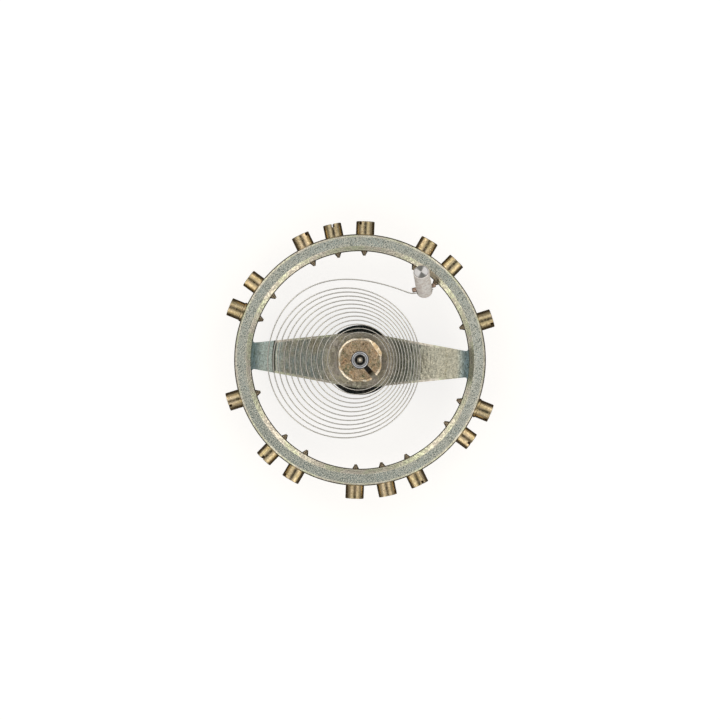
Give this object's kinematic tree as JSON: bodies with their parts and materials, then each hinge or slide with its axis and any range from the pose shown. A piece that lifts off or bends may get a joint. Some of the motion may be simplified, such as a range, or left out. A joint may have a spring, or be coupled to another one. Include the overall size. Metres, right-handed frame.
{
  "type": "balance wheel",
  "caption": "Screwed watch balance: one-arm rim wheel on a pivoted staff with timing screws, double roller, impulse jewel, flat hairspring, collet and stud.",
  "frame": {"origin": "on the staff's axis, level with the axes of the timing screws, which is the middle of the rim's height", "axes": "+Z along the staff towards the hairspring side, +X along the arm, +Y to the left of +X seen from the hairspring side"},
  "size_m": [0.0096, 0.01, 0.0032],
  "materials": {
    "nickel_silver": "nickel silver, turned and aged, greenish grey with a fine mottle and worn bright edges",
    "polished_steel": "hardened steel, turned and polished",
    "dark_steel": "hardened steel, polished flat, looks near black",
    "ruby": "synthetic ruby, polished",
    "aged_brass": "brass, dulled, with bright worn chamfers",
    "pin_brass": "brass wire, filed to a slight taper",
    "spring_steel": "tempered spring strip, satin grey",
    "stud_steel": "steel, matt frosted body and polished top",
    "screw_brass": "gilt brass, turned, darkened in the slots and at the edges",
    "washer_brass": "thin brass washer"
  },
  "bodies": {
    "hairspring": {"hairspring": "spring_steel"},
    "balance": {"balance_wheel": "nickel_silver", "balance_staff": "polished_steel", "roller_table": "dark_steel", "safety_roller": "polished_steel", "impulse_jewel": "ruby", "collet": "aged_brass", "collet_pin": "pin_brass", "timing_screw_01": "screw_brass", "timing_screw_02": "screw_brass", "timing_screw_03": "screw_brass", "timing_screw_04": "screw_brass", "timing_screw_05": "screw_brass", "timing_screw_06": "screw_brass", "timing_screw_07": "screw_brass", "timing_screw_08": "screw_brass", "timing_screw_09": "screw_brass", "timing_screw_10": "screw_brass", "timing_screw_11": "screw_brass", "timing_screw_12": "screw_brass", "timing_screw_13": "screw_brass", "timing_screw_14": "screw_brass", "timing_screw_15": "screw_brass", "timing_screw_16": "screw_brass", "timing_washer_01": "washer_brass", "timing_washer_02": "washer_brass"},
    "stud": {"hairspring_stud": "stud_steel", "stud_pin": "pin_brass"}
  },
  "joints": [
    {"name": "balance_swing", "type": "hinge", "parent": "hairspring", "child": "balance", "pos_m": [0, 0, 0], "axis": [0, 0, 1], "range_deg": [-300, 300], "stiffness_Nm_per_rad": 0.0000006, "deforming": ["hairspring"]},
    {"name": "stud_tilt", "type": "hinge", "parent": "hairspring", "child": "stud", "pos_m": [0.00221, 0.00255, 0.00042], "axis": [0.9655, 0.2605, 0], "range_deg": [0, 31.3], "stiffness_Nm_per_rad": 0.000005, "deforming": ["hairspring"]}
  ]
}
